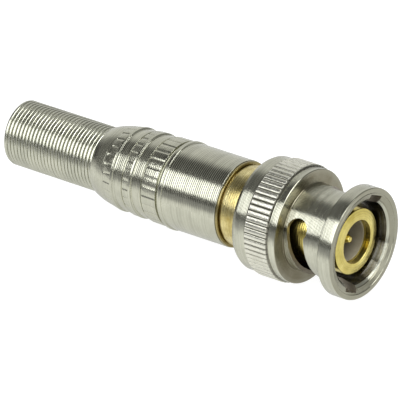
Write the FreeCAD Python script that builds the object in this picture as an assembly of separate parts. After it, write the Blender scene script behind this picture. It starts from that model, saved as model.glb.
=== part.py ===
import FreeCAD
import Part
import math
import os

# A coaxial plug with a bayonet coupling nut and a coiled strain relief.
# It lies on its side: +X points out of the mating end, +Z is up, and the
# origin is the centre of the outer contact's front face. Lengths are in mm
# and run backwards along the axis, from the nose to the tail.

Vector = FreeCAD.Vector
ORIGIN = Vector(0, 0, 0)
AXIS = Vector(1, 0, 0)

# Clearances
seat_gap = 0.03        # round a piece that is pressed or dropped into another
turn_gap = 0.07        # round a piece that turns on another
face_gap = 0.03        # between faces that turn against each other

# Outer contact
contact_radius = 4.05
contact_bore_radius = 2.66
contact_land = 0.3     # flat ring round the mouth
contact_bevel = 0.2    # slope of the face outside that ring
bore_length = 6.0      # narrow bore, from the face to the insulator's shoulder
chamber_step = 0.54    # the bore behind it is wider by this much all round
shoulder_radius = 4.76
shoulder_thickness = 0.6
spigot_wall = 0.65
spigot_seat = 2.2      # length of the spigot inside the rear body

# Centre pin
pin_radius = 0.675
pin_recess = 1.0       # tip behind the contact's face
pin_tip_radius = 0.32
pin_tip_length = 0.6
pin_nose_length = 0.12
pin_shank_radius = 0.9
pin_tail_radius = 1.2
pin_tail_reach = 3.3   # tail behind the rear body
cup_bore_radius = 0.7
cup_depth = 3.0
cup_notch_length = 2.2

# Insulators
skirt_recess = 0.9     # skirt's lip behind the contact's face
skirt_bore_radius = 2.42
cavity_depth = 5.2     # bottom of the cavity behind the contact's face
insulator_joint = 8.6  # where the two insulators meet, behind the face

# Gasket and washers
gasket_depth = 10.1    # gasket's front behind the contact's face
gasket_thickness = 0.9
gasket_radius = 4.7
gasket_seat_depth = 0.2  # how far the gasket sits in under the contact's surface
wave_height = 0.65
wave_thickness = 0.2
wave_count = 3
wave_steps = 8         # flats in each wave
thrust_thickness = 0.2
washer_radius = 4.76

# Coupling nut
nose_lead = 1.0        # nose in front of the contact's face
nose_radius = 6.83
nose_width = 1.8
flare_length = 0.95
neck_radius = 5.35
neck_length = 5.15
front_rim_radius = 7.0
front_rim_width = 1.0
knurl_radius = 7.25
knurl_width = 3.4
rear_rim_radius = 7.02
rear_rim_edge = 0.55
nut_bore_radius = 4.86
mouth_radius = 6.2
mouth_depth = 0.6
lip_thickness = 0.8
knurl_teeth = 64
knurl_groove_width = 0.3
knurl_groove_depth = 0.22

# Bayonet slots, cut for the two lugs of the mating socket
lug_radius = 1.0
lug_gap = 0.15
lug_groove_radius = 5.6
detent_radius = 1.375
detent_depth = 6.1     # detent's centre behind the nose
detent_angle = 158.7   # round the axis, from +Y towards +Z
slot_turn = 86.8       # degrees from the detent to the entry groove
slot_lead = 5.94       # forward travel of the slot in a whole turn
slot_overrun = 0.25    # slot's centre behind the detent's centre

# Rear body
hub_drop = 0.37        # hub's surface below the shell's
hub_length = 3.05
collar_groove_depth = 0.25
collar_groove_width = 0.2
collar_drop = 0.07     # flange's edge below the shell's surface
collar_thickness = 0.3
thread_wall = 1.4      # from the insulator's bore to the thread's crests
thread_length = 4.85
end_wall = 0.5         # behind the rear insulator
stake_drop = 1.1       # stake's surface below the thread's
stake_wall = 0.9
stake_length = 0.6

# Cable clamp, bent from sheet
clamp_gap = 0.16       # between the clamp's washer and the insulating tube
clamp_sheet = 0.45
strap_drop = 0.15      # strap's surface below the washer's edge
strap_length = 6.4
strap_half_angle = 38.0
ear_drop = 0.25        # ears' surface below the strap's
ear_length = 4.0
ear_half_angle = 122.0

# Insulating tube
tube_wall = 0.3
tube_front_gap = 0.15  # behind the thread's end

# Rear shell
shell_wall = 0.69      # barrel, from its bore to its surface
thread_gap = 0.08      # between the barrel's bore and the thread
barrel_length = 7.95
bead_height = 0.13
bead_width = 0.6
groove_depth = 0.27
groove_width = 0.32
ring_widths = (2.15, 1.2, 1.3)
band_widths = (1.65, 1.6)
band_depth = 0.22
dome_length = 2.8
dome_drop = 0.17       # dome's front edge below the rings
dome_wall = 0.24       # dome's tail, round the coil
dome_bulge = 0.09
shell_inner_length = 17.05
shell_teeth = 28
shell_groove_width = 0.42
shell_groove_depth = 0.155

# Strain relief spring
coil_drop = 0.62       # coil's surface below the barrel's bore
wire_diameter = 0.5
coil_pitch = 0.52
coil_turns = 27        # turns that stand out of the shell
coil_seat = 2.7        # length held in the shell
coil_sides = 24        # flats round each turn

# Stations along the axis that follow from the sizes above
nose_x = nose_lead
bore_end_x = -bore_length
joint_x = -insulator_joint
gasket_x = -gasket_depth
shoulder_x = gasket_x - gasket_thickness
wave_x = shoulder_x - shoulder_thickness
thrust_x = wave_x - wave_height - 2 * face_gap
lip_x = thrust_x - thrust_thickness - face_gap
nut_rear_x = lip_x - lip_thickness
hub_x = nut_rear_x - face_gap
spigot_end_x = hub_x - spigot_seat
collar_groove_x = hub_x - hub_length
collar_x = collar_groove_x - collar_groove_width
collar_rear_x = collar_x - collar_thickness
thread_end_x = collar_rear_x - thread_length
stake_end_x = thread_end_x - stake_length
insulator_end_x = thread_end_x + end_wall
pin_end_x = stake_end_x - pin_tail_reach
shell_x = collar_rear_x - face_gap
shell_seat_x = shell_x - shell_inner_length
tube_x = thread_end_x - tube_front_gap

# Radii that follow from the sizes above, from the middle outwards
chamber_radius = contact_bore_radius + chamber_step
spigot_radius = chamber_radius + spigot_wall
running_radius = spigot_radius + turn_gap
gasket_seat_radius = contact_radius - gasket_seat_depth
slot_half_width = lug_radius + lug_gap
thread_radius = chamber_radius + thread_wall
stake_radius = thread_radius - stake_drop
stake_bore_radius = stake_radius - stake_wall
shell_bore_radius = thread_radius + thread_gap
shell_radius = shell_bore_radius + shell_wall
hub_radius = shell_radius - hub_drop
collar_groove_radius = hub_radius - collar_groove_depth
collar_radius = shell_radius - collar_drop
tube_radius = shell_bore_radius - turn_gap
tube_bore_radius = tube_radius - tube_wall
clamp_washer_radius = tube_bore_radius - clamp_gap
strap_radius = clamp_washer_radius - strap_drop
ear_radius = strap_radius - ear_drop
coil_radius = shell_bore_radius - coil_drop
coil_bore_radius = coil_radius - wire_diameter
coil_seat_radius = coil_radius + seat_gap
dome_radius = coil_seat_radius + dome_wall


def point(x, radius):
    """A point of an outline, drawn in the plane above the axis."""
    return Vector(x, 0, radius)


def arc(start, end, bulge):
    """An arc entry for an outline: its middle stands out from the chord by bulge."""
    run = end[0] - start[0]
    rise = end[1] - start[1]
    chord = math.hypot(run, rise)
    middle_x = (start[0] + end[0]) / 2 + bulge * rise / chord
    middle_radius = (start[1] + end[1]) / 2 - bulge * run / chord
    return (middle_x, middle_radius, end[0], end[1])


def turned(outline, sweep=360.0):
    """A solid turned about the axis from a closed outline of (x, radius) entries."""
    edges = []
    last = point(*outline[0][-2:])
    for entry in outline[1:] + outline[:1]:
        end = point(*entry[-2:])
        if len(entry) == 4:
            middle = point(entry[0], entry[1])
            edges.append(Part.Arc(last, middle, end).toShape())
        else:
            edges.append(Part.LineSegment(last, end).toShape())
        last = end
    return Part.Face(Part.Wire(edges)).revolve(ORIGIN, AXIS, sweep)


def ring(front_x, rear_x, inner_radius, outer_radius):
    """A plain ring or tube about the axis."""
    outline = [
        (front_x, inner_radius),
        (front_x, outer_radius),
        (rear_x, outer_radius),
        (rear_x, inner_radius),
    ]
    return turned(outline)


def sector(front_x, rear_x, inner_radius, outer_radius, half_angle):
    """A piece of tube centred under the axis, half_angle to each side."""
    outline = [
        (front_x, inner_radius),
        (front_x, outer_radius),
        (rear_x, outer_radius),
        (rear_x, inner_radius),
    ]
    piece = turned(outline, 2 * half_angle)
    piece.rotate(ORIGIN, AXIS, 180.0 - half_angle)
    return piece


def section_at(angle, front_x, rear_x, inner_radius, outer_radius):
    """A rectangle in a plane through the axis, turned to an angle, as a loft's section."""
    corners = [
        point(rear_x, inner_radius),
        point(front_x, inner_radius),
        point(front_x, outer_radius),
        point(rear_x, outer_radius),
        point(rear_x, inner_radius),
    ]
    section = Part.makePolygon(corners)
    section.rotate(ORIGIN, AXIS, angle)
    return section


def flats_at(x, radius, sides):
    """A regular outline of many flats round the axis, as a loft's section."""
    corners = []
    for side in range(sides + 1):
        turn = 2 * math.pi * (side % sides) / sides
        corners.append(Vector(x, radius * math.sin(turn), radius * math.cos(turn)))
    return Part.makePolygon(corners)


def groove_cutters(front_x, rear_x, radius, depth, width, count):
    """V-shaped bars, evenly spaced round the axis, that cut a straight knurl."""
    half_pitch = math.pi * radius / count
    slope = depth / (width / 2)
    top = half_pitch / 2
    profile = [
        Vector(rear_x, 0, radius - depth),
        Vector(rear_x, -width / 2 - top, radius + slope * top),
        Vector(rear_x, width / 2 + top, radius + slope * top),
        Vector(rear_x, 0, radius - depth),
    ]
    bar = Part.Face(Part.makePolygon(profile)).extrude(Vector(front_x - rear_x, 0, 0))
    cutters = []
    for index in range(count):
        cutter = bar.copy()
        cutter.rotate(ORIGIN, AXIS, 360.0 * index / count)
        cutters.append(cutter)
    return cutters


def make_outer_contact():
    outline = [
        (0, contact_bore_radius),
        (0, contact_bore_radius + contact_land),
        (-contact_bevel, contact_radius),
        (gasket_x, contact_radius),
        (gasket_x, gasket_seat_radius),
        (shoulder_x, gasket_seat_radius),
        (shoulder_x, shoulder_radius),
        (wave_x, shoulder_radius),
        (wave_x, spigot_radius),
        (spigot_end_x, spigot_radius),
        (spigot_end_x, chamber_radius),
        (bore_end_x, chamber_radius),
        (bore_end_x, contact_bore_radius),
    ]
    return turned(outline)


def make_front_insulator():
    skirt_radius = contact_bore_radius - seat_gap
    body_radius = chamber_radius - seat_gap
    hole_radius = pin_shank_radius + seat_gap
    outline = [
        (-skirt_recess, skirt_bore_radius),
        (-skirt_recess, skirt_radius),
        (bore_end_x, skirt_radius),
        (bore_end_x, body_radius),
        (joint_x, body_radius),
        (joint_x, hole_radius),
        (-cavity_depth, hole_radius),
        (-cavity_depth, skirt_bore_radius),
    ]
    return turned(outline)


def make_rear_insulator():
    return ring(joint_x, insulator_end_x, pin_tail_radius + seat_gap, chamber_radius - seat_gap)


def make_centre_pin():
    cone_x = -pin_recess - pin_nose_length
    outline = [
        (-pin_recess, 0),
        arc((-pin_recess, 0), (cone_x, pin_tip_radius), pin_nose_length / 2),
        (cone_x - pin_tip_length, pin_radius),
        (-cavity_depth, pin_radius),
        (-cavity_depth, pin_shank_radius),
        (joint_x, pin_shank_radius),
        (joint_x, pin_tail_radius),
        (pin_end_x, pin_tail_radius),
        (pin_end_x, cup_bore_radius),
        (pin_end_x + cup_depth, cup_bore_radius),
        (pin_end_x + cup_depth, 0),
    ]
    notch_size = 4 * pin_tail_radius
    notch_corner = Vector(pin_end_x - cup_notch_length, -notch_size / 2, 0)
    notch = Part.makeBox(2 * cup_notch_length, notch_size, notch_size, notch_corner)
    return turned(outline).cut(notch)


def make_gasket():
    """A moulded ring whose front inner edge is bevelled, clear of the contact."""
    outline = [
        (gasket_x, contact_radius + seat_gap),
        (gasket_x, gasket_radius),
        (shoulder_x, gasket_radius),
        (shoulder_x, gasket_seat_radius + seat_gap),
        (gasket_x - gasket_seat_depth, gasket_seat_radius + seat_gap),
    ]
    return turned(outline)


def make_wave_washer():
    """A ring of spring sheet that rises and falls round the axis."""
    rise = (wave_height - wave_thickness) / 2
    steps = wave_steps * wave_count
    inner_radius = running_radius / math.cos(math.pi / steps)
    sections = []
    for index in range(steps):
        angle = 360.0 * index / steps
        front_x = wave_x - face_gap - rise + rise * math.cos(math.radians(wave_count * angle))
        rear_x = front_x - wave_thickness
        sections.append(section_at(angle, front_x, rear_x, inner_radius, washer_radius))
    return Part.makeLoft(sections, True, True, True)


def make_thrust_washer():
    return ring(thrust_x, thrust_x - thrust_thickness, running_radius, washer_radius)


def nut_blank():
    """The coupling nut as it is turned, before its knurl and slots are cut."""
    flare_x = nose_x - nose_width
    neck_x = flare_x - flare_length
    grip_x = neck_x - neck_length
    knurl_x = grip_x - front_rim_width
    knurl_end_x = knurl_x - knurl_width
    outline = [
        (nose_x, mouth_radius),
        (nose_x, nose_radius),
        (flare_x, nose_radius),
        (neck_x, neck_radius),
        (grip_x, neck_radius),
        (grip_x, front_rim_radius),
        (knurl_x, front_rim_radius),
        (knurl_x, knurl_radius),
        (knurl_end_x, knurl_radius),
        (knurl_end_x, rear_rim_radius),
        (nut_rear_x + rear_rim_edge, rear_rim_radius),
        (nut_rear_x, rear_rim_radius - rear_rim_edge / 2),
        (nut_rear_x, running_radius),
        (lip_x, running_radius),
        (lip_x, nut_bore_radius),
        (nose_x - mouth_depth, nut_bore_radius),
    ]
    cutters = groove_cutters(
        knurl_x, knurl_end_x, knurl_radius, knurl_groove_depth, knurl_groove_width, knurl_teeth
    )
    return turned(outline).cut(cutters)


def bayonet_cutter():
    """What one lug's path takes out of the nut, with the detent straight up."""
    inner_radius = (contact_radius + nut_bore_radius) / 2
    outer_radius = (neck_radius + nose_radius) / 2
    detent_x = nose_x - detent_depth
    start_x = detent_x - slot_overrun
    entry_x = start_x + slot_lead * slot_turn / 360.0
    sections = []
    steps = 8
    for index in range(steps + 1):
        share = index / steps
        centre_x = start_x + (entry_x - start_x) * share
        front_x = centre_x + slot_half_width
        rear_x = centre_x - slot_half_width
        sections.append(section_at(slot_turn * share, front_x, rear_x, inner_radius, outer_radius))
    ramp = Part.makeLoft(sections, True, False)
    depth = outer_radius - inner_radius
    up = Vector(0, 0, 1)
    detent = Part.makeCylinder(detent_radius, depth, point(detent_x, inner_radius), up)
    turn_in = Part.makeCylinder(slot_half_width, depth, point(entry_x, inner_radius), up)
    groove_corner = Vector(entry_x, -slot_half_width, inner_radius)
    groove_length = nose_x - entry_x + nose_width
    groove = Part.makeBox(
        groove_length, 2 * slot_half_width, lug_groove_radius - inner_radius, groove_corner
    )
    for piece in (turn_in, groove):
        piece.rotate(ORIGIN, AXIS, slot_turn)
    return ramp.fuse([detent, turn_in, groove])


def make_coupling_nut():
    cutter = bayonet_cutter()
    cutter.rotate(ORIGIN, AXIS, detent_angle - 90.0)
    opposite = cutter.copy()
    opposite.rotate(ORIGIN, AXIS, 180.0)
    return nut_blank().cut([cutter, opposite])


def make_rear_body():
    outline = [
        (hub_x, spigot_radius + seat_gap),
        (hub_x, hub_radius),
        (collar_groove_x, hub_radius),
        (collar_groove_x, collar_groove_radius),
        (collar_x, collar_groove_radius),
        (collar_x, collar_radius),
        (collar_rear_x, collar_radius),
        (collar_rear_x, thread_radius),
        (thread_end_x, thread_radius),
        (thread_end_x, stake_radius),
        (stake_end_x, stake_radius),
        (stake_end_x, stake_bore_radius),
        (insulator_end_x, stake_bore_radius),
        (insulator_end_x, chamber_radius),
        (spigot_end_x, chamber_radius),
        (spigot_end_x, spigot_radius + seat_gap),
    ]
    return turned(outline)


def make_cable_clamp():
    strap_x = thread_end_x - clamp_sheet
    ear_x = strap_x - strap_length
    ear_end_x = ear_x - ear_length
    washer = ring(thread_end_x, strap_x, stake_radius + seat_gap, clamp_washer_radius)
    strap = sector(thread_end_x, ear_x, strap_radius - clamp_sheet, strap_radius, strap_half_angle)
    ears = sector(ear_x, ear_end_x, ear_radius - clamp_sheet, ear_radius, ear_half_angle)
    return washer.fuse([strap, ears])


def make_insulating_tube():
    return ring(tube_x, shell_seat_x + seat_gap, tube_bore_radius, tube_radius)


def shell_outline():
    """The rear shell's outer outline, from its front edge to its tail."""
    bead_x = shell_x - barrel_length
    bead_radius = shell_radius + bead_height
    groove_x = bead_x - bead_width
    groove_radius = shell_radius - groove_depth
    band_radius = shell_radius - band_depth
    x = groove_x - groove_width
    outline = [
        (shell_x, shell_radius),
        (bead_x, shell_radius),
        (bead_x, bead_radius),
        (groove_x, bead_radius),
        (groove_x, groove_radius),
        (x, groove_radius),
    ]
    for ring_width, band_width in zip(ring_widths, band_widths):
        outline.append((x, shell_radius))
        x -= ring_width
        outline += [(x, shell_radius), (x, band_radius)]
        x -= band_width
        outline.append((x, band_radius))
    outline.append((x, shell_radius))
    dome_start = (x - ring_widths[-1], shell_radius - dome_drop)
    dome_end = (dome_start[0] - dome_length, dome_radius)
    return outline + [dome_start, arc(dome_start, dome_end, dome_bulge)]


def make_rear_shell():
    outer = shell_outline()
    tail_x = outer[-1][-2]
    inner = [
        (tail_x, coil_seat_radius),
        (shell_seat_x, coil_seat_radius),
        (shell_seat_x, shell_bore_radius),
        (shell_x, shell_bore_radius),
    ]
    knurl_x = shell_x - barrel_length - bead_width - groove_width / 2
    cutters = groove_cutters(
        knurl_x, tail_x + dome_length, shell_radius,
        shell_groove_depth, shell_groove_width, shell_teeth,
    )
    return turned(outer + inner).cut(cutters)


def make_strain_relief_spring():
    """A close-wound coil: each turn that shows is a ridge, with flats round it."""
    tail_x = shell_outline()[-1][-2]
    seat_x = tail_x + coil_seat
    root_radius = coil_radius - wire_diameter / 3
    sections = []
    for index in range(2 * coil_turns + 1):
        radius = coil_radius if index % 2 else root_radius
        x = tail_x - index * coil_pitch / 2
        sections.append(flats_at(x, radius, coil_sides))
    ridges = Part.makeLoft(sections, True, True)
    end_x = tail_x - coil_turns * coil_pitch
    seat = ring(seat_x, tail_x, coil_bore_radius, coil_radius)
    bore = Part.makeCylinder(coil_bore_radius, seat_x - end_x, point(end_x, 0), AXIS)
    return ridges.cut(bore).fuse(seat)


parts = {
    "coupling_nut": make_coupling_nut,
    "outer_contact": make_outer_contact,
    "front_insulator": make_front_insulator,
    "rear_insulator": make_rear_insulator,
    "centre_pin": make_centre_pin,
    "gasket": make_gasket,
    "wave_washer": make_wave_washer,
    "thrust_washer": make_thrust_washer,
    "rear_body": make_rear_body,
    "cable_clamp": make_cable_clamp,
    "insulating_tube": make_insulating_tube,
    "rear_shell": make_rear_shell,
    "strain_relief_spring": make_strain_relief_spring,
}

os.makedirs("parts", exist_ok=True)
for name, make in parts.items():
    solid = make()
    solid.exportStep("parts/" + name + ".step")
    print(name, "valid", solid.isValid(), "solids", len(solid.Solids), "volume", round(solid.Volume, 2))
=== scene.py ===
import math
from collections import namedtuple
import bmesh
import bpy
from mathutils import Matrix, Vector


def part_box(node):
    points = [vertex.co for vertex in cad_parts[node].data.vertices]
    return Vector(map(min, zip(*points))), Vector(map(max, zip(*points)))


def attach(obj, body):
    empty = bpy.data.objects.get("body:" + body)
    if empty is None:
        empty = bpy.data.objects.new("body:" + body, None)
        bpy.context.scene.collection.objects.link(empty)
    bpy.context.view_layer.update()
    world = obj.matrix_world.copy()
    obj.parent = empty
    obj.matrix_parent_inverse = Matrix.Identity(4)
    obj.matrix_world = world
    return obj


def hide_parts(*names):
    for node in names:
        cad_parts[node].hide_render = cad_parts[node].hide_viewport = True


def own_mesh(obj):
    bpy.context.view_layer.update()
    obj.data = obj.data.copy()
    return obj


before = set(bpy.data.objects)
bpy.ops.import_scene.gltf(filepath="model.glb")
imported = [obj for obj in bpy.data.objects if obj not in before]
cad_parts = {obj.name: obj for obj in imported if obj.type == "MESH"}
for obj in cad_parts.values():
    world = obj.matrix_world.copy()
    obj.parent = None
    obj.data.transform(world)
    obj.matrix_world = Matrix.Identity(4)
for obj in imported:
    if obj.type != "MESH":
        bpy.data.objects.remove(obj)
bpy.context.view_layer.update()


# Coupling nut: turned from brass, straight-knurled for the fingers, then plated with
# nickel. Two helical slots are milled through its neck for the lugs of the socket, each
# ending in a round detent hole, and a groove in the nose lets each lug in.
mm = 0.001
nut_low, nut_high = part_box("coupling_nut")
nose_x = nut_high.x
nut_rear_x = nut_low.x
nose_radius = 6.83 * mm
flare_x = nose_x - 1.8 * mm
neck_x = nose_x - 2.75 * mm
neck_radius = 5.35 * mm
grip_x = nose_x - 7.9 * mm
front_rim_radius = 7.0 * mm
knurl_x = nose_x - 8.95 * mm
knurl_end_x = nose_x - 12.3 * mm
knurl_radius = 7.25 * mm
knurl_gap_radius = 6.93 * mm
knurl_chamfer = 0.18 * mm
rear_rim_radius = 7.02 * mm
rear_face_radius = 6.72 * mm
nut_bore_radius = 4.86 * mm
mouth_radius = 5.18 * mm
mouth_x = nose_x - 0.52 * mm
taper_x = nose_x - 2.6 * mm
lip_radius = 3.92 * mm
lip_x = nut_rear_x + 0.8 * mm
nut_teeth = 64
tooth_depth = 0.2 * mm
tooth_shares = (0, 0.1, 0.16, 0.3, 0.5, 0.7, 0.84, 0.9)
tooth_profile = ((0, 1.0), (0.1, 0.28), (0.16, 0.14), (0.3, 0.04), (0.5, 0))
knurl_slack = 1e-6


def eased(corners, steps=4):
    """A closed outline of (x, radius) corners, where a third number rounds that corner.

    A rounding takes no more than half of the run before it and the run after it.
    """
    outline = []
    most = 0.48
    for index, corner in enumerate(corners):
        here = Vector(corner[:2])
        if len(corner) < 3:
            outline.append(here)
            continue
        before = Vector(corners[index - 1][:2]) - here
        after = Vector(corners[(index + 1) % len(corners)][:2]) - here
        half = before.angle(after) / 2
        reach = min(corner[2] / math.tan(half), most * before.length, most * after.length)
        start = here + before.normalized() * reach
        end = here + after.normalized() * reach
        for step in range(steps + 1):
            share = step / steps
            outline.append(start.lerp(here, share).lerp(here.lerp(end, share), share))
    return outline


def dense(outline, spacing):
    """The same outline with more points on its long runs."""
    points = []
    for index, point in enumerate(outline):
        following = outline[(index + 1) % len(outline)]
        parts = max(1, math.ceil((following - point).length / spacing))
        for part in range(parts):
            points.append(point.lerp(following, part / parts))
    return points


def round_angles(count, shares=(0,)):
    """Angles round the axis: each of count equal steps is divided at the shares."""
    return [2 * math.pi * (index + share) / count for index in range(count) for share in shares]


def placed(name, data):
    """A new object in the scene, at the origin."""
    thing = bpy.data.objects.new(name, data)
    bpy.context.scene.collection.objects.link(thing)
    return thing


def finish_mesh(piece, angle=28):
    """Merges the points on the axis, turns the faces outwards and shades rounds smooth."""
    work = bmesh.new()
    work.from_mesh(piece.data)
    bmesh.ops.remove_doubles(work, verts=work.verts, dist=0.2e-6)
    bmesh.ops.dissolve_degenerate(work, edges=work.edges, dist=0.1e-6)
    bmesh.ops.recalc_face_normals(work, faces=work.faces)
    work.to_mesh(piece.data)
    work.free()
    piece.data.shade_smooth()
    piece.data.set_sharp_from_angle(angle=math.radians(angle))


def turned(name, outline, angles, relief=None):
    """A mesh turned about the X axis. relief is the depth below the radius at (x, r, angle)."""
    points = []
    for angle in angles:
        for x, radius in outline:
            if relief:
                radius -= relief(x, radius, angle)
            points.append((x, radius * math.cos(angle), radius * math.sin(angle)))
    count = len(outline)
    faces = []
    for segment in range(len(angles)):
        here = segment * count
        there = (segment + 1) % len(angles) * count
        for index in range(count):
            following = (index + 1) % count
            faces.append((here + index, here + following, there + following, there + index))
    mesh = bpy.data.meshes.new(name)
    mesh.from_pydata(points, [], faces)
    piece = placed(name, mesh)
    finish_mesh(piece)
    return piece


def tooth_relief(angle, teeth, profile, depth):
    """How deep a knurl's surface lies at an angle, from its profile across half a tooth."""
    place = (angle / (2 * math.pi) * teeth) % 1.0
    share = min(place, 1.0 - place)
    for (start, high), (end, low) in zip(profile, profile[1:]):
        if share <= end + 1e-9:
            return depth * (high + (low - high) * (share - start) / (end - start))
    return 0.0


def nut_relief(x, radius, angle):
    """The nut's straight knurl, cut down to the small grooves at both of its ends."""
    if radius < knurl_gap_radius:
        return 0.0
    if not knurl_end_x - knurl_slack <= x <= knurl_x + knurl_slack:
        return 0.0
    depth = tooth_relief(angle, nut_teeth, tooth_profile, tooth_depth)
    return max(0.0, radius - knurl_radius + depth)


nut_outline = dense(eased([
    (nose_x - 0.03 * mm, 6.12 * mm),
    (nose_x - 0.07 * mm, 6.19 * mm),
    (nose_x, 6.26 * mm, 0.02 * mm),
    (nose_x, nose_radius, 0.14 * mm),
    (flare_x, nose_radius, 0.14 * mm),
    (neck_x, neck_radius, 0.06 * mm),
    (grip_x, neck_radius, 0.12 * mm),
    (grip_x, front_rim_radius, 0.1 * mm),
    (knurl_x + 0.12 * mm, front_rim_radius, 0.04 * mm),
    (knurl_x + 0.06 * mm, knurl_gap_radius),
    (knurl_x, knurl_gap_radius),
    (knurl_x - knurl_chamfer, knurl_radius, 0.06 * mm),
    (knurl_end_x + knurl_chamfer, knurl_radius, 0.06 * mm),
    (knurl_end_x, rear_rim_radius, 0.03 * mm),
    (nut_rear_x + 0.5 * mm, rear_rim_radius, 0.4 * mm),
    (nut_rear_x, rear_face_radius, 0.18 * mm),
    (nut_rear_x, lip_radius, 0.05 * mm),
    (lip_x, lip_radius),
    (lip_x, nut_bore_radius),
    (taper_x, nut_bore_radius),
    (mouth_x, mouth_radius, 0.03 * mm),
    (nose_x - 0.18 * mm, mouth_radius + 0.36 * mm, 0.04 * mm),
]), spacing=0.9 * mm)
coupling_nut = turned(
    "coupling_nut_turned", nut_outline, round_angles(nut_teeth, tooth_shares), nut_relief
)

lug_half = 1.15 * mm
detent_x = nose_x - 6.1 * mm
detent_radius = 1.375 * mm
detent_angle = math.radians(158.7)
slot_start_x = detent_x - 0.25 * mm
slot_turn = math.radians(86.8)
slot_lead = 5.94 * mm
slot_end_x = slot_start_x + slot_lead * slot_turn / (2 * math.pi)
cut_inner = 4.45 * mm
cut_outer = 6.09 * mm
lug_groove_radius = 5.9 * mm


def add_ramp(work):
    """The slot that a lug follows, as a twisted bar from the detent to the entry groove."""
    steps = 40
    rings = []
    for step in range(steps + 1):
        x = slot_start_x + (slot_end_x - slot_start_x) * step / steps
        turn = Matrix.Rotation(slot_turn * step / steps, 3, "X")
        corners = (
            Vector((x - lug_half, 0, cut_inner)),
            Vector((x + lug_half, 0, cut_inner)),
            Vector((x + lug_half, 0, cut_outer)),
            Vector((x - lug_half, 0, cut_outer)),
        )
        rings.append([work.verts.new(turn @ corner) for corner in corners])
    for ring, following in zip(rings, rings[1:]):
        for index in range(4):
            after = (index + 1) % 4
            work.faces.new((ring[index], ring[after], following[after], following[index]))
    work.faces.new(rings[0])
    work.faces.new(list(reversed(rings[-1])))


def add_drill(work, x, radius, turn):
    """A round cutter that stands on the axis."""
    middle = Vector((x, 0, (cut_inner + cut_outer) / 2))
    place = Matrix.Rotation(turn, 4, "X") @ Matrix.Translation(middle)
    bmesh.ops.create_cone(
        work, cap_ends=True, segments=64, radius1=radius, radius2=radius,
        depth=cut_outer - cut_inner, matrix=place,
    )


def add_entry(work):
    """The groove that lets a lug in through the nose."""
    front = nose_x + 1 * mm
    size = Vector((front - slot_end_x, 2 * lug_half, lug_groove_radius - cut_inner))
    middle = Vector(((front + slot_end_x) / 2, 0, (lug_groove_radius + cut_inner) / 2))
    place = Matrix.Rotation(slot_turn, 4, "X") @ Matrix.Translation(middle)
    bmesh.ops.create_cube(work, size=1.0, matrix=place @ Matrix.Diagonal((*size, 1)))


def plain_mesh(piece, modifier):
    """Makes what a modifier gives a piece its plain mesh."""
    depsgraph = bpy.context.evaluated_depsgraph_get()
    mesh = bpy.data.meshes.new_from_object(piece.evaluated_get(depsgraph))
    piece.modifiers.remove(modifier)
    piece.data = mesh


def cut_out(piece, work, cut_material=None):
    """Takes a closed cutter out of a piece. The cut faces may have a material of their own."""
    mesh = bpy.data.meshes.new("cutter")
    work.to_mesh(mesh)
    work.free()
    cutter = placed("cutter", mesh)
    cut = piece.modifiers.new("cut", "BOOLEAN")
    cut.operation = "DIFFERENCE"
    cut.solver = "EXACT"
    cut.object = cutter
    if cut_material:
        mesh.materials.append(cut_material)
        cut.material_mode = "TRANSFER"
    plain_mesh(piece, cut)
    bpy.data.objects.remove(cutter)


def cut_twice(piece, fill):
    """Mills out of the nut, on both sides, what fill adds to an empty cutter."""
    for half_turn in (0, math.pi):
        work = bmesh.new()
        fill(work)
        turn = Matrix.Rotation(detent_angle - math.pi / 2 + half_turn, 4, "X")
        bmesh.ops.transform(work, matrix=turn, verts=work.verts)
        bmesh.ops.recalc_face_normals(work, faces=work.faces)
        cut_out(piece, work, milled_painted_shade)


def new_material(name):
    """An empty material, its node tree and its shader."""
    material = bpy.data.materials.new(name)
    material.use_nodes = True
    return material, material.node_tree, material.node_tree.nodes["Principled BSDF"]


def add(tree, kind, **settings):
    """Adds a node and sets its properties."""
    node = tree.nodes.new(kind)
    for name, value in settings.items():
        setattr(node, name, value)
    return node


def feed(tree, node, *values):
    """Gives a node's inputs their values in turn: a number, a vector or another output."""
    for socket, value in zip(node.inputs, values):
        if isinstance(value, bpy.types.NodeSocket):
            tree.links.new(value, socket)
        elif value is not None:
            socket.default_value = value
    return node.outputs[0]


def calculate(tree, operation, *values):
    """A Math node's result."""
    return feed(tree, add(tree, "ShaderNodeMath", operation=operation), *values)


def noise(tree, vector, scale, detail=2.0, roughness=0.5):
    """A noise texture's value."""
    node = add(tree, "ShaderNodeTexNoise")
    node.inputs["Scale"].default_value = scale
    node.inputs["Detail"].default_value = detail
    node.inputs["Roughness"].default_value = roughness
    tree.links.new(vector, node.inputs["Vector"])
    return node.outputs["Fac"]


def spread(tree, value, start, end, low, high):
    """A value's range from start to end, mapped to low to high."""
    return feed(tree, add(tree, "ShaderNodeMapRange"), value, start, end, low, high)


def tinted(tree, value, dark, light):
    """A colour between two others, which may be outputs of nodes."""
    node = add(tree, "ShaderNodeMix", data_type="RGBA")
    tree.links.new(value, node.inputs[0])
    for socket, colour in ((node.inputs[6], dark), (node.inputs[7], light)):
        if isinstance(colour, bpy.types.NodeSocket):
            tree.links.new(colour, socket)
        else:
            socket.default_value = (*colour, 1)
    return node.outputs[2]


def bumped(tree, height, distance, normal=None):
    """A bump node's normal, laid over another."""
    node = add(tree, "ShaderNodeBump")
    node.inputs["Distance"].default_value = distance
    tree.links.new(height, node.inputs["Height"])
    if normal:
        tree.links.new(normal, node.inputs["Normal"])
    return node.outputs[0]


def between(tree, value, low, high):
    """1 where a value lies between two others, and 0 elsewhere."""
    above = calculate(tree, "GREATER_THAN", value, low)
    return calculate(tree, "MULTIPLY", above, calculate(tree, "LESS_THAN", value, high))


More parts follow.
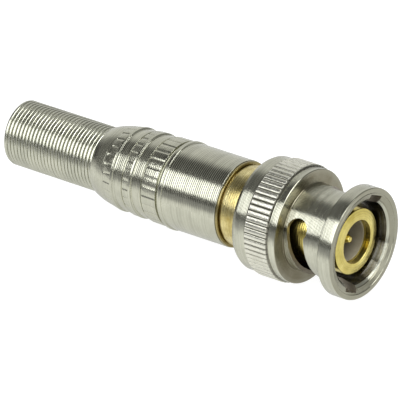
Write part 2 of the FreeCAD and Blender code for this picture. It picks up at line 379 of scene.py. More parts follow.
def coordinates(tree, kind):
    """A kind of texture coordinates, whole and as X, Y and Z."""
    place = add(tree, "ShaderNodeTexCoord").outputs[kind]
    parts = add(tree, "ShaderNodeSeparateXYZ")
    tree.links.new(place, parts.inputs[0])
    return place, *parts.outputs


def polar(tree):
    """The place on a piece: its own coordinates, then along, away from and round the axis."""
    place, along, side, up = coordinates(tree, "Object")
    side_squared = calculate(tree, "MULTIPLY", side, side)
    up_squared = calculate(tree, "MULTIPLY", up, up)
    away = calculate(tree, "SQRT", calculate(tree, "ADD", side_squared, up_squared))
    turn = calculate(tree, "ARCTAN2", up, side)
    return place, along, away, turn


ring_drift = 0.03 * mm
line_depth = 0.0022 * mm


def turned_metal(name, dark, light, rough, feed_pitch, feed_depth, painted_light_and_tarnish=(), worn=(), grain=0.1):
    """Plated turned metal: the tool's feed marks, finer rings, a cloudy plating and specks.

    Each zone of painted light and tarnish lies between two x, fades out between two radii and has
    a colour. Each worn zone has two x, how deep its dents are and how much duller it is.
    """
    material, tree, shader = new_material(name)
    place, along, away, turn = polar(tree)
    drift = calculate(tree, "MULTIPLY", turn, ring_drift)
    # The tool's marks wind along the surface at one pitch. The noises that are read in rings
    # hardly change round the axis.
    rings = feed(tree, add(tree, "ShaderNodeCombineXYZ"), along, away, drift)
    run = calculate(tree, "ADD", along, away)
    phase = calculate(tree, "MULTIPLY_ADD", run, 2 * math.pi / feed_pitch, turn)
    marks = calculate(tree, "SINE", phase)
    uneven = noise(tree, rings, 0.45 / feed_pitch, detail=3.0, roughness=0.6)
    lines = noise(tree, rings, 8500.0, detail=3.0, roughness=0.65)
    fine = noise(tree, rings, 7.0 / feed_pitch, detail=3.0, roughness=0.6)
    cloud = noise(tree, place, 380.0, detail=4.0, roughness=0.6)
    speck = noise(tree, place, 6500.0, detail=3.0, roughness=0.7)
    # Colour: cloudy, with darker scratches and pits, then the zones of painted light and tarnish.
    tint = tinted(tree, spread(tree, cloud, 0.3, 0.7, 0, 1), dark, light)
    scratched = spread(tree, lines, 0.42, 0.74, 0, 0.5)
    tint = tinted(tree, scratched, tint, tuple(0.6 * part for part in dark))
    pits = spread(tree, speck, 0.66, 0.72, 0, 0.5)
    tint = tinted(tree, pits, tint, tuple(0.45 * part for part in dark))
    for rear, front, low, high, colour in painted_light_and_tarnish:
        inside = between(tree, along, rear, front)
        patchy = calculate(tree, "MULTIPLY", inside, spread(tree, cloud, 0.25, 0.6, 0.6, 1))
        zone_amount = calculate(tree, "MULTIPLY", patchy, spread(tree, away, low, high, 0.9, 0))
        tint = tinted(tree, zone_amount, tint, colour)
    tree.links.new(tint, shader.inputs["Base Color"])
    shader.inputs["Metallic"].default_value = 1.0
    # Gloss and relief, with the worn zones last.
    finer = spread(tree, fine, 0.3, 0.7, rough - 0.03, rough + 0.05)
    cloudier = spread(tree, cloud, 0.3, 0.7, -0.02, 0.03)
    normal = bumped(tree, calculate(tree, "MULTIPLY", marks, uneven), feed_depth)
    normal = bumped(tree, uneven, feed_depth * 1.2, normal)
    normal = bumped(tree, lines, line_depth, normal)
    normal = bumped(tree, fine, feed_depth * 0.3, normal)
    normal = bumped(tree, speck, feed_depth * grain, normal)
    dents = noise(tree, place, 3200.0, detail=2.0, roughness=0.6)
    dull = calculate(tree, "ADD", finer, cloudier)
    for rear, front, depth, duller in worn:
        inside = between(tree, along, rear, front)
        normal = bumped(tree, calculate(tree, "MULTIPLY", inside, dents), depth, normal)
        dull = calculate(tree, "MULTIPLY_ADD", inside, duller, dull)
    tree.links.new(dull, shader.inputs["Roughness"])
    tree.links.new(normal, shader.inputs["Normal"])
    return material


def coat(piece, material, slot, body, *nodes):
    """Gives a piece its finish and says what it rides on and stands for."""
    if not piece.data.materials:
        piece.data.materials.append(material)
    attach(piece, body)
    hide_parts(*nodes)


nickel_dark = (0.5, 0.5, 0.4)
nickel_light = (0.61, 0.61, 0.49)
# Painted shade: the knurl's grooves are painted darker.
knurl_groove_shade = (knurl_end_x, knurl_x, 7.08 * mm, 7.2 * mm, (0.13, 0.12, 0.095))
# Painted sheen: the knurl's crests are painted lighter.
knurl_crest_sheen = (knurl_end_x, knurl_x, 7.23 * mm, 7.14 * mm, (0.8, 0.79, 0.68))
# Painted shade: the grip face is painted darker, most of all next to the neck.
grip_face_shade = (grip_x - 0.05 * mm, grip_x + 0.2 * mm, 6.3 * mm, 8.6 * mm, (0.19, 0.165, 0.1))
# The nose's front face is painted darker.
nose_face_darker = (nose_x - 0.04 * mm, nose_x + 0.1 * mm, 7.3 * mm, 8.6 * mm, (0.33, 0.32, 0.235))
# The mouth's cone next to the face is painted darker.
mouth_cone_darker = (nose_x - 0.3 * mm, nose_x - 0.04 * mm, 6.1 * mm, 6.4 * mm, (0.3, 0.29, 0.21))
# Painted shade: the bore inside the nose is painted near black.
bore_shade = (
    lip_x, mouth_x - 0.01 * mm, mouth_radius + 0.01 * mm, mouth_radius + 0.03 * mm,
    (0.06, 0.05, 0.04),
)
nut_nickel = turned_metal(
    "nut_nickel", nickel_dark, nickel_light,
    rough=0.14, feed_pitch=0.17 * mm, feed_depth=0.012 * mm,
    painted_light_and_tarnish=(knurl_groove_shade, knurl_crest_sheen, nose_face_darker, mouth_cone_darker, grip_face_shade, bore_shade),
    worn=((knurl_end_x, knurl_x, 0.018 * mm, 0.1),),
)
# Painted shade: the slots' milled walls are rougher than the nickel, and painted darker for the
# shade inside the slots.
milled_painted_shade = turned_metal(
    "milled_painted_shade", (0.27, 0.245, 0.2), (0.42, 0.38, 0.31),
    rough=0.42, feed_pitch=0.09 * mm, feed_depth=0.004 * mm,
)
coupling_nut.data.materials.append(nut_nickel)
cut_twice(coupling_nut, add_ramp)
cut_twice(coupling_nut, lambda work: add_drill(work, detent_x, detent_radius, 0))
cut_twice(coupling_nut, lambda work: add_drill(work, slot_end_x, lug_half, slot_turn))
cut_twice(coupling_nut, add_entry)
finish_mesh(coupling_nut)
coat(coupling_nut, nut_nickel, "nickel", "nut", "coupling_nut")


# Outer contact: one gold-plated turned ring that plugs into the socket's barrel. Behind
# the nut's lip it has a shoulder for the gasket and the wave washer, and its tail is
# pressed into the rear body.
contact_low, contact_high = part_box("outer_contact")
contact_radius = 4.05 * mm
contact_bore = 2.66 * mm
gasket_low, gasket_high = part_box("gasket")
spigot_radius = 3.85 * mm
chamber_radius = 3.2 * mm
chamber_x = contact_high.x - 6 * mm
shoulder_end_x = gasket_low.x - 0.6 * mm
outer_contact = turned("outer_contact_turned", dense(eased([
    (contact_high.x, contact_bore, 0.06 * mm),
    (contact_high.x, contact_bore + 0.5 * mm, 0.3 * mm),
    (contact_high.x - 0.16 * mm, contact_radius, 0.12 * mm),
    (gasket_high.x, contact_radius),
    (gasket_high.x, spigot_radius),
    (gasket_low.x, spigot_radius),
    (gasket_low.x, contact_high.z, 0.06 * mm),
    (shoulder_end_x, contact_high.z, 0.06 * mm),
    (shoulder_end_x, spigot_radius),
    (contact_low.x, spigot_radius, 0.1 * mm),
    (contact_low.x, chamber_radius),
    (chamber_x, chamber_radius),
    (chamber_x, contact_bore),
]), spacing=1.2 * mm), round_angles(192))
gold_dark = (0.6, 0.49, 0.12)
gold_light = (0.94, 0.82, 0.3)
contact_gold = turned_metal(
    "contact_gold", gold_dark, gold_light,
    rough=0.22, feed_pitch=0.3 * mm, feed_depth=0.005 * mm, grain=0.8,
)
coat(outer_contact, contact_gold, "gold", "plug", "outer_contact")


# Front insulator: moulded in off-white plastic, painted a dark grey-brown for the shade inside the
# outer contact. Its thin skirt
# # lines the outer contact's mouth and its floor carries the centre pin.
skirt_x = contact_high.x - 0.9 * mm
skirt_bore = 2.42 * mm
skirt_radius = 2.63 * mm
floor_x = contact_high.x - 5.2 * mm
insulator_low, insulator_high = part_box("front_insulator")
insulator_radius = insulator_high.z
pin_hole = 0.93 * mm
front_insulator = turned("front_insulator_moulded", dense(eased([
    (skirt_x, skirt_bore, 0.05 * mm),
    (skirt_x, skirt_radius, 0.03 * mm),
    (chamber_x, skirt_radius),
    (chamber_x, insulator_radius),
    (insulator_low.x, insulator_radius),
    (insulator_low.x, pin_hole),
    (floor_x, pin_hole, 0.04 * mm),
    (floor_x, skirt_bore, 0.25 * mm),
]), spacing=1.2 * mm), round_angles(128))


def moulded(name, dark, light, rough, grain):
    """Moulded plastic or rubber: cloudy colour, the mould's fine grain and faint flow rings."""
    material, tree, shader = new_material(name)
    place, along, away, _ = polar(tree)
    cloud = noise(tree, place, 700.0, detail=4.0, roughness=0.6)
    rings = feed(tree, add(tree, "ShaderNodeCombineXYZ"), along, away, 0.0)
    flow = noise(tree, rings, 3000.0, detail=2.0)
    pores = noise(tree, place, 9000.0, detail=3.0, roughness=0.7)
    tint = tinted(tree, spread(tree, cloud, 0.3, 0.7, 0, 1), dark, light)
    tree.links.new(tint, shader.inputs["Base Color"])
    uneven = spread(tree, pores, 0.3, 0.7, rough - 0.06, rough + 0.08)
    tree.links.new(uneven, shader.inputs["Roughness"])
    normal = bumped(tree, flow, grain, bumped(tree, pores, grain))
    tree.links.new(normal, shader.inputs["Normal"])
    return material


# Painted shade: the off-white plastic is painted a dark grey-brown, as it looks deep in the
# contact.
insulator_painted_shade = moulded(
    "insulator_painted_shade", (0.24, 0.215, 0.155), (0.32, 0.29, 0.215),
    rough=0.42, grain=0.002 * mm,
)
coat(front_insulator, insulator_painted_shade, "insulator", "plug", "front_insulator")


# Centre pin: gold-plated brass with a small tapered tip. Its tail is a solder cup, milled
# open on top, for the cable's inner wire. The two insulators hold it.
pin_low, pin_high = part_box("centre_pin")
pin_radius = 0.675 * mm
shank_radius = 0.9 * mm
pin_tail_radius = pin_high.y
cup_radius = 0.7 * mm
cup_floor_x = pin_low.x + 3 * mm
cup_notch = 2.2 * mm
centre_pin = turned("centre_pin_turned", dense(eased([
    (pin_high.x, 0),
    (pin_high.x, 0.32 * mm, 0.16 * mm),
    (pin_high.x - 0.72 * mm, pin_radius, 0.5 * mm),
    (floor_x, pin_radius),
    (floor_x, shank_radius),
    (insulator_low.x, shank_radius),
    (insulator_low.x, pin_tail_radius),
    (pin_low.x, pin_tail_radius, 0.06 * mm),
    (pin_low.x, cup_radius, 0.06 * mm),
    (cup_floor_x, cup_radius),
    (cup_floor_x, 0),
]), spacing=1.2 * mm), round_angles(64))
notch_work = bmesh.new()
notch_place = Matrix.Translation((pin_low.x, 0, 2 * pin_tail_radius))
notch_size = Matrix.Diagonal((2 * cup_notch, 4 * pin_tail_radius, 4 * pin_tail_radius, 1))
bmesh.ops.create_cube(notch_work, size=1.0, matrix=notch_place @ notch_size)
cut_out(centre_pin, notch_work)
finish_mesh(centre_pin)
pin_gold = turned_metal(
    "pin_gold", gold_dark, gold_light,
    rough=0.12, feed_pitch=0.1 * mm, feed_depth=0.0006 * mm,
)
coat(centre_pin, pin_gold, "gold", "plug", "centre_pin")


# Rear insulator: a plain moulded bush behind the front one. It closes the chamber round
# the pin's shank, and its rim sits on the rear body's end wall.
bush_low, bush_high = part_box("rear_insulator")
bush_hole = 1.23 * mm
rear_insulator = turned("rear_insulator_moulded", dense(eased([
    (bush_high.x, bush_hole, 0.06 * mm),
    (bush_high.x, bush_high.y, 0.1 * mm),
    (bush_low.x, bush_high.y, 0.1 * mm),
    (bush_low.x, bush_hole, 0.06 * mm),
]), spacing=1.5 * mm), round_angles(96))
coat(rear_insulator, insulator_painted_shade, "insulator", "plug", "rear_insulator")


# Gasket: a soft red-brown silicone ring in front of the shoulder. The rim of the socket's
# barrel presses on it.
gasket = turned("gasket_moulded", eased([
    (gasket_high.x, contact_radius + 0.03 * mm),
    (gasket_high.x, gasket_high.y, 0.2 * mm),
    (gasket_low.x, gasket_high.y, 0.1 * mm),
    (gasket_low.x, spigot_radius + 0.03 * mm),
    (gasket_high.x - 0.2 * mm, spigot_radius + 0.03 * mm),
]), round_angles(128))
silicone = moulded(
    "gasket_silicone", (0.42, 0.13, 0.08), (0.55, 0.2, 0.13),
    rough=0.5, grain=0.002 * mm,
)
coat(gasket, silicone, "silicone", "plug", "gasket")


# Wave washer and thrust washer: punched from spring sheet. The wave washer draws the nut
# back when the bayonet locks, and the thrust washer keeps it from scraping on the nut.
washer_steel = turned_metal(
    "washer_steel", (0.42, 0.41, 0.39), (0.56, 0.55, 0.52),
    rough=0.26, feed_pitch=0.08 * mm, feed_depth=0.0008 * mm,
)


def finish_solid(name, material):
    """Gives a solid that no other piece replaces its finish."""
    for material_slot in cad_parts[name].material_slots:
        material_slot.material = material


finish_solid("thrust_washer", washer_steel)
wave_low, wave_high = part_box("wave_washer")
sheet_thickness = 0.2 * mm
wave_count = 3
wave_rise = (wave_high.x - wave_low.x - sheet_thickness) / 2
wave_washer = turned("wave_washer_pressed", eased([
    (wave_high.x, lip_radius, 0.03 * mm),
    (wave_high.x, wave_high.y, 0.05 * mm),
    (wave_high.x - sheet_thickness, wave_high.y, 0.05 * mm),
    (wave_high.x - sheet_thickness, lip_radius, 0.03 * mm),
]), round_angles(96))
for point in wave_washer.data.vertices:
    wave = math.cos(wave_count * math.atan2(point.co.z, point.co.y))
    point.co.x += wave_rise * (wave - 1)
coat(wave_washer, washer_steel, "spring_steel", "plug", "wave_washer")
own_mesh(wave_washer)


# Rear body: gold-plated brass. Its hub shows between the nut and the shell, a thin flange
# stops the shell, and a fine thread behind the flange holds it.
body_low, body_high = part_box("rear_body")
hub_radius = 5.0 * mm
hub_end_x = body_high.x - 3.05 * mm
hub_groove_radius = 4.75 * mm
collar_x = hub_end_x - 0.2 * mm
collar_end_x = collar_x - 0.3 * mm
collar_radius = body_high.y
thread_radius = 4.6 * mm
thread_end_x = collar_end_x - 4.85 * mm
thread_pitch = 0.75 * mm
thread_depth = 0.3 * mm
thread_run_out = 0.3 * mm
thread_steepness = 1.15
stake_radius = 3.5 * mm
stake_bore = 2.6 * mm
end_wall_x = thread_end_x + 0.5 * mm
spigot_hole = spigot_radius + 0.03 * mm


def thread_relief(x, radius, angle):
    """The fine thread, right-handed, running out before the flange."""
    if radius < thread_radius - 0.01 * mm:
        return 0.0
    if not thread_end_x <= x < collar_end_x - thread_run_out:
        return 0.0
    place = ((x - thread_end_x) / thread_pitch - angle / (2 * math.pi)) % 1.0
    return thread_depth * max(0.0, 1.0 - abs(2 * place - 1.0) * thread_steepness)


body_front = eased([
    (body_high.x, spigot_hole),
    (body_high.x, hub_radius, 0.15 * mm),
    (hub_end_x, hub_radius, 0.12 * mm),
    (hub_end_x, hub_groove_radius, 0.05 * mm),
    (collar_x, hub_groove_radius, 0.05 * mm),
    (collar_x, collar_radius, 0.07 * mm),
    (collar_end_x, collar_radius, 0.04 * mm),
    (collar_end_x, thread_radius),
])
thread_rows = 78
thread_row = (collar_end_x - thread_end_x) / thread_rows
body_thread = [
    Vector((collar_end_x - thread_row * row, thread_radius)) for row in range(1, thread_rows)
]
body_rear = eased([
    (thread_end_x, thread_radius - thread_depth, 0.05 * mm),
    (thread_end_x, stake_radius),
    (body_low.x, stake_radius, 0.05 * mm),
    (body_low.x, stake_bore),
    (end_wall_x, stake_bore),
    (end_wall_x, chamber_radius),
    (contact_low.x, chamber_radius),
    (contact_low.x, spigot_hole),
])
rear_body = turned(
    "rear_body_turned", body_front + body_thread + body_rear, round_angles(192), thread_relief
)
# Painted shade and tarnish: the flange and the groove in front of it are painted a dark olive.
flange_tarnish_and_shade = (collar_end_x, hub_end_x, 5.5 * mm, 5.6 * mm, (0.27, 0.22, 0.095))
body_gold = turned_metal(
    "body_gold", (0.43, 0.325, 0.08), (0.97, 0.87, 0.46),
    rough=0.23, feed_pitch=0.3 * mm, feed_depth=0.003 * mm, grain=0.8,
    painted_light_and_tarnish=(flange_tarnish_and_shade,), worn=((collar_end_x, body_high.x, 0.016 * mm, 0.02),),
)
coat(rear_body, body_gold, "gold", "plug", "rear_body")


# Cable clamp: bent from gold-plated sheet and staked to the rear body. Its two ears are
# squeezed shut on the cable's jacket and braid.
clamp_gold = turned_metal(
    "clamp_gold", (0.62, 0.44, 0.14), (0.8, 0.6, 0.22),
    rough=0.26, feed_pitch=0.05 * mm, feed_depth=0.0008 * mm,
)
finish_solid("cable_clamp", clamp_gold)


# Insulating tube: a thin extruded sleeve, cut to length, that lines the shell so that the
# clamp can't touch it.
tube_low, tube_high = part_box("insulating_tube")
tube_bore = tube_high.y - 0.3 * mm
insulating_tube = turned("insulating_tube_cut", dense(eased([
    (tube_high.x, tube_bore, 0.05 * mm),
    (tube_high.x, tube_high.y, 0.05 * mm),
    (tube_low.x, tube_high.y, 0.05 * mm),
    (tube_low.x, tube_bore, 0.05 * mm),
]), spacing=2 * mm), round_angles(128))
sleeve_plastic = moulded(
    "sleeve_plastic", (0.78, 0.79, 0.77), (0.86, 0.87, 0.85),
    rough=0.24, grain=0.0008 * mm,
)
coat(insulating_tube, sleeve_plastic, "sleeve", "sleeve", "insulating_tube")


# Rear shell: turned from brass, knurled in three rings, plated with nickel, and screwed
# on over the clamp. A bead and a groove end its smooth barrel, bands lie between the
# rings, and its domed tail holds the coil.
shell_low, shell_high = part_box("rear_shell")
shell_radius = 5.37 * mm
bead_radius = 5.5 * mm
groove_radius = 5.1 * mm
barrel_end_x = shell_high.x - 7.95 * mm
bead_end_x = barrel_end_x - 0.6 * mm
shell_bore = 4.68 * mm
coil_seat_radius = 4.09 * mm
coil_seat_x = shell_high.x - 17.05 * mm
shell_teeth = 28
shell_tooth_depth = 0.065 * mm
shell_tooth_shares = (0, 0.06, 0.12, 0.2, 0.35, 0.5, 0.65, 0.8, 0.88, 0.94)
shell_tooth_profile = ((0, 1.0), (0.06, 0.7), (0.12, 0.24), (0.2, 0.05), (0.5, 0))
barrel_feed = 0.27 * mm
barrel_feed_depth = 0.016 * mm
feed_start_x = shell_high.x - 0.15 * mm
feed_end_x = barrel_end_x + 0.1 * mm
Ring = namedtuple("Ring", "front rear front_radius rear_radius")
ring_3 = Ring(bead_end_x - 0.4 * mm, bead_end_x - 2.5 * mm, 5.37 * mm, 5.34 * mm)
ring_2 = Ring(bead_end_x - 4.55 * mm, bead_end_x - 5.4 * mm, 5.32 * mm, 5.28 * mm)
ring_1 = Ring(bead_end_x - 7.4 * mm, bead_end_x - 8.5 * mm, 5.25 * mm, 5.02 * mm)
rings = (ring_3, ring_2, ring_1)


def shell_relief(x, radius, angle):
    """The V grooves of the knurled rings, and the tool's deep feed marks on the barrel."""
    if feed_end_x < x < feed_start_x and radius > bead_radius - 0.2 * mm:
        turns = (x - barrel_end_x) / barrel_feed - angle / (2 * math.pi)
        return barrel_feed_depth * (0.5 - 0.5 * math.cos(2 * math.pi * turns))
    for ring in rings:
        inside = ring.rear - knurl_slack <= x <= ring.front + knurl_slack
        if inside and radius > ring.rear_radius - 0.12 * mm:
            return tooth_relief(angle, shell_teeth, shell_tooth_profile, shell_tooth_depth)
    return 0.0


def dome(start, end, bulge, steps=10):
    """Points between two ends that stand out from their chord by bulge in the middle."""
    start, end = Vector(start), Vector(end)
    out = Vector((end.y - start.y, start.x - end.x)).normalized()
    points = []
    for step in range(1, steps):
        share = step / steps
        points.append(tuple(start.lerp(end, share) + out * bulge * 4 * share * (1 - share)))
    return points


def band(ring, following, groove, front_radius, rear_radius):
    """The groove behind a knurled ring, and the plain band up to the ring that follows."""
    return (
        (ring.rear - 0.03 * mm, groove, 0.03 * mm),
        (ring.rear - 0.2 * mm, groove, 0.03 * mm),
        (ring.rear - 0.24 * mm, front_radius, 0.03 * mm),
        (following.front + 0.42 * mm, rear_radius, 0.08 * mm),
        (following.front + 0.34 * mm, following.front_radius, 0.06 * mm),
        (following.front + 0.02 * mm, following.front_radius),
        (following.front, following.front_radius),
    )


feed_row = barrel_feed / 4
feed_rows = int((shell_high.x - barrel_end_x - 0.2 * mm) / feed_row)
dome_start = (ring_1.rear - 0.04 * mm, 5.0 * mm)
dome_end = (shell_low.x, coil_seat_radius + 0.24 * mm)
shell_outline = dense(eased([
    (shell_high.x, shell_radius, 0.1 * mm),
    *[(shell_high.x - 0.1 * mm - feed_row * row, shell_radius) for row in range(feed_rows)],
    (barrel_end_x, shell_radius, 0.02 * mm),
    (barrel_end_x - 0.04 * mm, bead_radius, 0.16 * mm),
    (bead_end_x, bead_radius, 0.16 * mm),
    (bead_end_x - 0.06 * mm, groove_radius, 0.04 * mm),
    (ring_3.front + 0.06 * mm, groove_radius, 0.04 * mm),
    (ring_3.front, ring_3.front_radius, 0.05 * mm),
    (ring_3.rear, ring_3.rear_radius, 0.06 * mm),
    *band(ring_3, ring_2, groove_radius + 0.02 * mm, 5.22 * mm, 5.13 * mm),
    (ring_2.rear, ring_2.rear_radius, 0.06 * mm),
    *band(ring_2, ring_1, groove_radius - 0.02 * mm, 5.18 * mm, 5.08 * mm),
    (ring_1.rear, ring_1.rear_radius),
    dome_start,
    *dome(dome_start, dome_end, 0.09 * mm),
    (*dome_end, 0.08 * mm),
    (shell_low.x, coil_seat_radius),
    (coil_seat_x, coil_seat_radius),
    (coil_seat_x, shell_bore),
    (shell_high.x, shell_bore, 0.06 * mm),
]), spacing=1.0 * mm)
rear_shell = turned(
    "rear_shell_turned", shell_outline, round_angles(shell_teeth, shell_tooth_shares), shell_relief
)
ring_wear = [
    (ring.rear - 0.1 * mm, ring.front + 0.1 * mm, 0.018 * mm, 0.02) for ring in rings
]
tail_wear = (shell_low.x + 0.8 * mm, bead_end_x, 0.009 * mm, 0.03)
shell_nickel = turned_metal(
    "shell_nickel", nickel_dark, nickel_light,
    rough=0.16, feed_pitch=barrel_feed, feed_depth=0.009 * mm,
    worn=(*ring_wear, tail_wear),
)
coat(rear_shell, shell_nickel, "nickel", "shell", "rear_shell")


# Strain relief: one length of plated spring wire, a little flat, wound close and
# right-handed. Its first turns are held in the shell's tail, the cable comes out through
# it, and its open end lies at the bottom, away from the camera.
coil_low, coil_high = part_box("strain_relief_spring")
wire_radius = 0.245 * mm
wire_pitch = 0.52 * mm
coil_middle_radius = 4.06 * mm - wire_radius
coil_length = coil_high.x - coil_low.x - 2 * wire_radius
coil_turns = coil_length / wire_pitch
wire_end_angle = math.radians(258)
wire_flatness = 0.8


def coil_tree(material):
    """Geometry nodes that wind a round wire into a close, left-handed coil along X."""
    tree = bpy.data.node_groups.new("wound_wire", "GeometryNodeTree")
    face = tree.interface
    face.new_socket("Geometry", in_out="INPUT", socket_type="NodeSocketGeometry")
    for name in ("Turns", "Length", "Coil radius", "Wire radius", "Front", "Start angle"):
        face.new_socket(name, in_out="INPUT", socket_type="NodeSocketFloat")
    face.new_socket("Geometry", in_out="OUTPUT", socket_type="NodeSocketGeometry")
    given = tree.nodes.new("NodeGroupInput").outputs
    spiral = tree.nodes.new("GeometryNodeCurveSpiral")
    spiral.inputs["Resolution"].default_value = 72
    wire = tree.nodes.new("GeometryNodeCurvePrimitiveCircle")
    wire.inputs["Resolution"].default_value = 14
    lay = tree.nodes.new("GeometryNodeTransform")
    corner = tree.nodes.new("ShaderNodeCombineXYZ")
    turn = tree.nodes.new("ShaderNodeCombineXYZ")
    turn.inputs["Y"].default_value = -math.pi / 2
    roll = tree.nodes.new("GeometryNodeTransform")
    spin = tree.nodes.new("ShaderNodeCombineXYZ")
    sweep = tree.nodes.new("GeometryNodeCurveToMesh")
    sweep.inputs["Fill Caps"].default_value = True
    smooth = tree.nodes.new("GeometryNodeSetShadeSmooth")
    whole = tree.nodes.new("GeometryNodeRealizeInstances")
    paint = tree.nodes.new("GeometryNodeSetMaterial")
    paint.inputs["Material"].default_value = material
    done = tree.nodes.new("NodeGroupOutput")
    joins = (
        (given["Turns"], spiral.inputs["Rotations"]),
        (given["Coil radius"], spiral.inputs["Start Radius"]),
        (given["Coil radius"], spiral.inputs["End Radius"]),
        (given["Length"], spiral.inputs["Height"]),
        (given["Wire radius"], wire.inputs["Radius"]),
        (given["Front"], corner.inputs["X"]),
        (given["Start angle"], spin.inputs["X"]),
        (spiral.outputs[0], lay.inputs["Geometry"]),
        (turn.outputs[0], lay.inputs["Rotation"]),
        (corner.outputs[0], lay.inputs["Translation"]),
        (lay.outputs[0], roll.inputs["Geometry"]),
        (spin.outputs[0], roll.inputs["Rotation"]),
        (roll.outputs[0], sweep.inputs["Curve"]),
        (wire.outputs[0], sweep.inputs["Profile Curve"]),
        (sweep.outputs[0], smooth.inputs["Geometry"]),
        (smooth.outputs[0], whole.inputs["Geometry"]),
        (whole.outputs[0], paint.inputs["Geometry"]),
        (paint.outputs[0], done.inputs["Geometry"]),
    )
    for source, target in joins:
        tree.links.new(source, target)
    return tree


def grown(name, tree, sizes):
    """The piece that a tree of geometry nodes makes, as a plain mesh."""
    seed = placed(name, bpy.data.meshes.new(name))
    nodes = seed.modifiers.new("nodes", "NODES")
    nodes.node_group = tree
    for item in tree.interface.items_tree:
        if item.in_out == "INPUT" and item.name in sizes:
            nodes[item.identifier] = sizes[item.name]
    plain_mesh(seed, nodes)
    return seed


wire_steel = turned_metal(
    "wire_steel", (0.5, 0.505, 0.41), (0.64, 0.64, 0.52),
    rough=0.24, feed_pitch=0.05 * mm, feed_depth=0.0008 * mm,
)
strain_relief = grown("strain_relief_wound", coil_tree(wire_steel), {
    "Turns": coil_turns,
    "Length": coil_length,
    "Coil radius": coil_middle_radius,
    "Wire radius": wire_radius,
    "Front": coil_high.x - wire_radius,
    "Start angle": math.pi / 2 - wire_end_angle - 2 * math.pi * coil_turns,
})
# The mirrored coil is right-handed. Its wire is pressed towards the coil's outside, so it
# keeps the coil's radius.
coil_radius = coil_middle_radius + wire_radius
for vertex in strain_relief.data.vertices:
    away = math.hypot(vertex.co.y, vertex.co.z)
    flatter = (coil_radius - wire_flatness * (coil_radius - away)) / away
    vertex.co.yz = (-flatter * vertex.co.y, flatter * vertex.co.z)
strain_relief.data.flip_normals()
coat(strain_relief, wire_steel, "spring_steel", "shell", "strain_relief_spring")


# The table and the light: a plain white sheet, a long softbox in front, one overhead and a
# small one on the right. The studio is dark in front and pale behind, with a pale strip
# on the far left that the dome and the bands mirror.
table_z = nut_low.z - 0.05 * mm
table_half = 3
table_mesh = bpy.data.meshes.new("table")
table_mesh.from_pydata([
    (-table_half, -table_half, table_z),
    (table_half, -table_half, table_z),
    (table_half, table_half, table_z),
    (-table_half, table_half, table_z),
], [], [(0, 1, 2, 3)])
table = placed("table", table_mesh)

# The sheet is a mid grey that glows for the camera, so it looks white and keeps the plug's
# shadow. What metal mirrors of it fades out in front of the plug and is dimmer behind it.
paper_colour = (0.3, 0.3, 0.3, 1)
paper_glow = 0.9
paper = bpy.data.materials.new("paper")
paper.use_nodes = True
paper_tree = paper.node_tree
paper_tree.nodes.clear()
lit = add(paper_tree, "ShaderNodeBsdfDiffuse")
lit.inputs["Color"].default_value = paper_colour
path = add(paper_tree, "ShaderNodeLightPath").outputs
paper_y = coordinates(paper_tree, "Object")[2]
near = spread(paper_tree, paper_y, -0.038, -0.022, 0, 1)
paler = spread(paper_tree, paper_y, -0.015, 0.0, 0.76, 0.54)
mirrored = calculate(paper_tree, "MAXIMUM", path["Is Glossy Ray"], path["Is Transmission Ray"])
mirrored = calculate(paper_tree, "MULTIPLY", mirrored, near)
mirrored = calculate(paper_tree, "MULTIPLY", mirrored, paler)
bright = calculate(paper_tree, "MULTIPLY", path["Is Camera Ray"], paper_glow)
seen = calculate(paper_tree, "MAXIMUM", bright, mirrored)
glow = add(paper_tree, "ShaderNodeEmission")
paper_tree.links.new(seen, glow.inputs["Strength"])
both = add(paper_tree, "ShaderNodeAddShader")
feed(paper_tree, both, lit.outputs[0], glow.outputs[0])
paper_out = add(paper_tree, "ShaderNodeOutputMaterial")
paper_tree.links.new(both.outputs[0], paper_out.inputs["Surface"])
table.data.materials.append(paper)

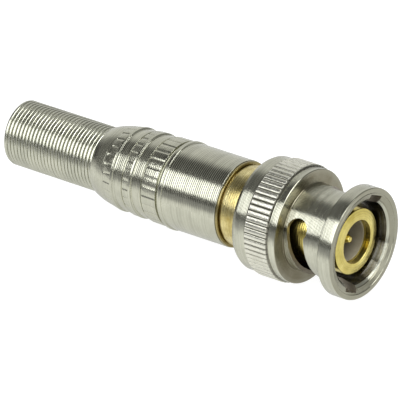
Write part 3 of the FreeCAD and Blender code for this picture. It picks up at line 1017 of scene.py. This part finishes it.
# The studio's walls by the direction in which they lie: X to the right and Y to the back.
studio = bpy.data.worlds.new("studio")
bpy.context.scene.world = studio
studio.use_nodes = True
studio_tree = studio.node_tree
studio_tree.nodes.clear()
_, wall_x, wall_y, _ = coordinates(studio_tree, "Generated")
behind = add(studio_tree, "ShaderNodeMapRange", interpolation_type="SMOOTHSTEP")
feed(studio_tree, behind, wall_y, 0.04, 0.46, 0.07, 0.8)
rightward = spread(studio_tree, wall_x, -0.45, 0.05, 1, 0.35)
rising = calculate(studio_tree, "MULTIPLY", behind.outputs[0], rightward)
leftward = spread(studio_tree, wall_x, -0.6, -0.72, 0, 0.34)
farther = spread(studio_tree, wall_x, -0.8, -0.93, 1, 0.05)
lefthand = calculate(studio_tree, "MULTIPLY", leftward, farther)
glowing = calculate(studio_tree, "MAXIMUM", rising, lefthand)
backdrop = add(studio_tree, "ShaderNodeMix")
straight = add(studio_tree, "ShaderNodeLightPath").outputs["Is Camera Ray"]
feed(studio_tree, backdrop, straight, None, glowing, 1.0)
sky = add(studio_tree, "ShaderNodeBackground")
sky.inputs["Color"].default_value = (1, 1, 1, 1)
studio_tree.links.new(backdrop.outputs[0], sky.inputs["Strength"])
sky_out = add(studio_tree, "ShaderNodeOutputWorld")
studio_tree.links.new(sky.outputs[0], sky_out.inputs["Surface"])

camera_forward = Vector((-0.5519, 0.7155, -0.4278))
camera_aim = Vector((-0.01553, -0.00996, 0.00466))
softbox_distance = 0.9
softbox_colour = (0.955, 0.965, 1.0)


def add_softbox(name, direction, width, height, radiance, roll=0):
    """A rectangular lamp that faces the plug, given by how bright it looks."""
    lamp = bpy.data.lights.new(name, "AREA")
    lamp.shape = "RECTANGLE"
    lamp.color = softbox_colour
    lamp.size = width
    lamp.size_y = height
    lamp.energy = radiance * math.pi * width * height
    softbox = placed(name, lamp)
    direction = Vector(direction)
    softbox.location = camera_aim + direction.normalized() * softbox_distance
    level = direction.to_track_quat("Z", "Y").to_matrix()
    softbox.rotation_euler = (level @ Matrix.Rotation(math.radians(roll), 3, "Z")).to_euler()


add_softbox("front_softbox", (0.16, -0.82, 0.56), width=1.9, height=0.72, radiance=2.8, roll=-7)
add_softbox("top_softbox", (0.36, -0.04, 0.93), width=0.8, height=0.4, radiance=5.6)
add_softbox("side_softbox", (0.96, 0.25, 0.1), width=0.4, height=0.4, radiance=1.6)


# Camera: a long lens some 0.7 m away, in front of the plug, above it and to its right, as
# in the photograph.
camera_distance = 0.7
camera_data = bpy.data.cameras.new("camera")
camera_data.sensor_width = 36
camera_data.lens = 539.3
camera_data.clip_start = 0.05
camera = placed("camera", camera_data)
camera.location = camera_aim - camera_distance * camera_forward
camera.rotation_euler = camera_forward.to_track_quat("-Z", "Y").to_euler()
bpy.context.scene.camera = camera
bpy.context.scene.view_settings.view_transform = "Standard"
